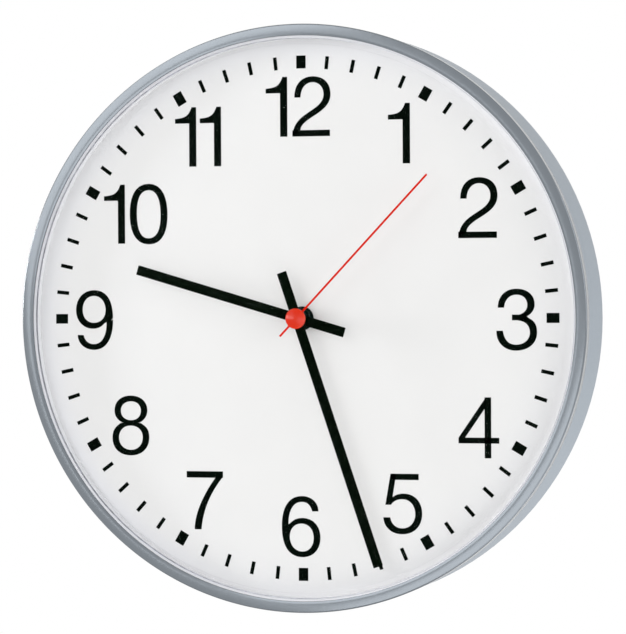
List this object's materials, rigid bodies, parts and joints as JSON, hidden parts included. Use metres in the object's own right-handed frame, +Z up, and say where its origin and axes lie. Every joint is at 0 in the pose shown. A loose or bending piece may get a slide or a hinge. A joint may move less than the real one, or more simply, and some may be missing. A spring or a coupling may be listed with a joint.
{
  "type": "slave clock",
  "caption": "Round wall clock with domed lens, steel case, bar hands and a geared stepping movement driven by a master clock.",
  "frame": {"origin": "rear face of the wall bracket, in the wall's plane, on the axis of the hands", "axes": "+Z up, towards twelve; -Y out of the dial towards the reader; +X towards three"},
  "size_m": [0.3, 0.0508, 0.3],
  "materials": {
    "case_paint": "smooth blue-grey enamel, half gloss",
    "bezel_paint": "smooth darker blue-grey enamel, half gloss",
    "clear_lens": "clear acrylic, polished",
    "black_rubber": "matt",
    "zinc_steel": "zinc plated",
    "dial_paint": "matt white lacquer",
    "white_plastic": "moulded, matt",
    "black_ink": "screen printed ink",
    "ivory_plastic": "moulded, matt",
    "brass": "machined",
    "steel": "turned",
    "black_metal": "black lacquer",
    "core_steel": "annealed core sheet",
    "copper": "enamelled copper wire",
    "board_green": "circuit board with solder mask",
    "component_black": "moulded parts with tinned pins",
    "lead_red": "insulation",
    "magnet": "sintered magnet",
    "red_paint": "red lacquer, turned face",
    "knob_plastic": "moulded, knurled"
  },
  "bodies": {
    "frame": {"casing": "case_paint", "back_plate": "zinc_steel", "back_plate_screws": "zinc_steel", "wall_bracket": "zinc_steel", "bezel": "bezel_paint", "lens": "clear_lens", "lens_gasket": "white_plastic", "dial_seat_ring": "zinc_steel", "dial": "dial_paint", "spacer_ring": "white_plastic", "minute_marks": "black_ink", "cable_grommet": "black_rubber", "terminal_block": "ivory_plastic", "terminal_screws": "brass", "front_plate": "brass", "middle_plate": "brass", "rear_plate": "brass", "pillars": "brass", "movement_screws": "steel", "fixing_bushing": "black_metal", "seal_washer": "black_rubber", "fixing_nut": "black_metal", "motion_stud": "steel", "stator": "core_steel", "stator_posts": "brass", "coil_core": "core_steel", "coil_bobbin": "ivory_plastic", "coil_winding": "copper", "stator_screws": "steel", "circuit_board": "board_green", "board_components": "component_black", "lead_wires": "lead_red"},
    "rotor": {"rotor_magnet": "magnet", "rotor_arbor": "steel"},
    "intermediate": {"intermediate_wheel": "brass", "intermediate_arbor": "steel"},
    "seconds": {"seconds_wheel": "brass", "seconds_arbor": "steel", "second_hand": "red_paint", "hub_cap": "red_paint"},
    "third": {"third_wheel": "brass", "third_arbor": "steel"},
    "minutes": {"centre_wheel": "brass", "cannon_pinion": "steel", "minute_hand": "black_metal"},
    "motion": {"motion_wheel": "brass"},
    "hours": {"hour_wheel": "brass", "hour_hand": "black_metal"},
    "setting": {"setting_arbor": "steel", "setting_knob": "knob_plastic"}
  },
  "joints": [
    {"name": "minute_hand_turn", "type": "hinge", "parent": "frame", "child": "minutes", "pos_m": [0, -0.043, 0], "axis": [0, 1, 0], "continuous": true},
    {"name": "hour_hand_turn", "type": "hinge", "parent": "frame", "child": "hours", "pos_m": [0, -0.041, 0], "axis": [0, 1, 0], "continuous": true},
    {"name": "motion_wheel_spin", "type": "hinge", "parent": "frame", "child": "motion", "pos_m": [0, -0.024, -0.012], "axis": [0, 1, 0], "continuous": true},
    {"name": "setting_knob_turn", "type": "hinge", "parent": "frame", "child": "setting", "pos_m": [0, -0.012, -0.024], "axis": [0, 1, 0], "continuous": true},
    {"name": "third_wheel_spin", "type": "hinge", "parent": "frame", "child": "third", "pos_m": [-0.01082, -0.02, 0.01082], "axis": [0, 1, 0], "continuous": true},
    {"name": "second_hand_turn", "type": "hinge", "parent": "frame", "child": "seconds", "pos_m": [0, -0.045, 0], "axis": [0, 1, 0], "continuous": true},
    {"name": "intermediate_spin", "type": "hinge", "parent": "frame", "child": "intermediate", "pos_m": [0.01018, -0.013, 0.01018], "axis": [0, 1, 0], "continuous": true},
    {"name": "rotor_spin", "type": "hinge", "parent": "frame", "child": "rotor", "pos_m": [0.02225, -0.015, 0.00806], "axis": [0, 1, 0], "continuous": true}
  ],
  "couplings": [
    {"joint": "third_wheel_spin", "follows": "minute_hand_turn", "ratio": -7.5},
    {"joint": "second_hand_turn", "follows": "minute_hand_turn", "ratio": 60},
    {"joint": "intermediate_spin", "follows": "minute_hand_turn", "ratio": -300},
    {"joint": "rotor_spin", "follows": "minute_hand_turn", "ratio": 1800},
    {"joint": "motion_wheel_spin", "follows": "minute_hand_turn", "ratio": -0.33333},
    {"joint": "hour_hand_turn", "follows": "minute_hand_turn", "ratio": 0.083333},
    {"joint": "setting_knob_turn", "follows": "minute_hand_turn", "ratio": 1}
  ]
}
